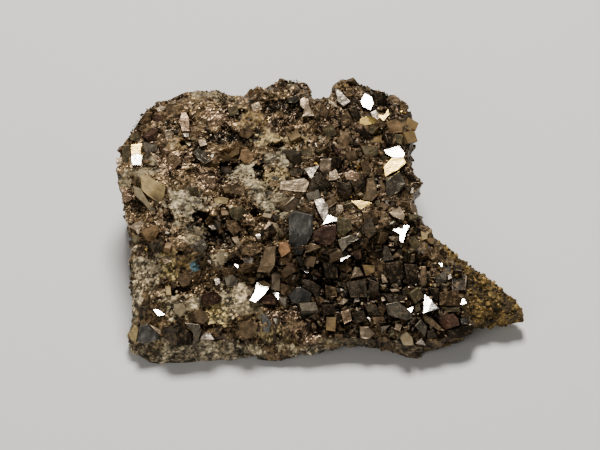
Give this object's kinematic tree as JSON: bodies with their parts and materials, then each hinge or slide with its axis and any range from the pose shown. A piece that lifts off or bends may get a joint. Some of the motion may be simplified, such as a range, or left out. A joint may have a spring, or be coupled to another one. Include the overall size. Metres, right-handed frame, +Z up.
{
  "type": "mineral specimen",
  "caption": "Arsenopyrite specimen: intergrown metallic rhombic crystals crusting a stepped slab of host rock with a bare pointed tail, lying on its flat back.",
  "frame": {"origin": "on the plane the specimen rests on, under the middle of its bounding box", "axes": "+Z up through the crystal side, +X to the right along the longest way and out to the bare tail, +Y from the low front edge to the thick back"},
  "size_m": [0.1015, 0.072, 0.0316],
  "materials": {
    "host_rock": "rough",
    "arsenopyrite_crust": "tarnished metallic crystal faces"
  },
  "bodies": {
    "root": {"host_rock": "host_rock", "arsenopyrite_crust": "arsenopyrite_crust"}
  },
  "joints": []
}
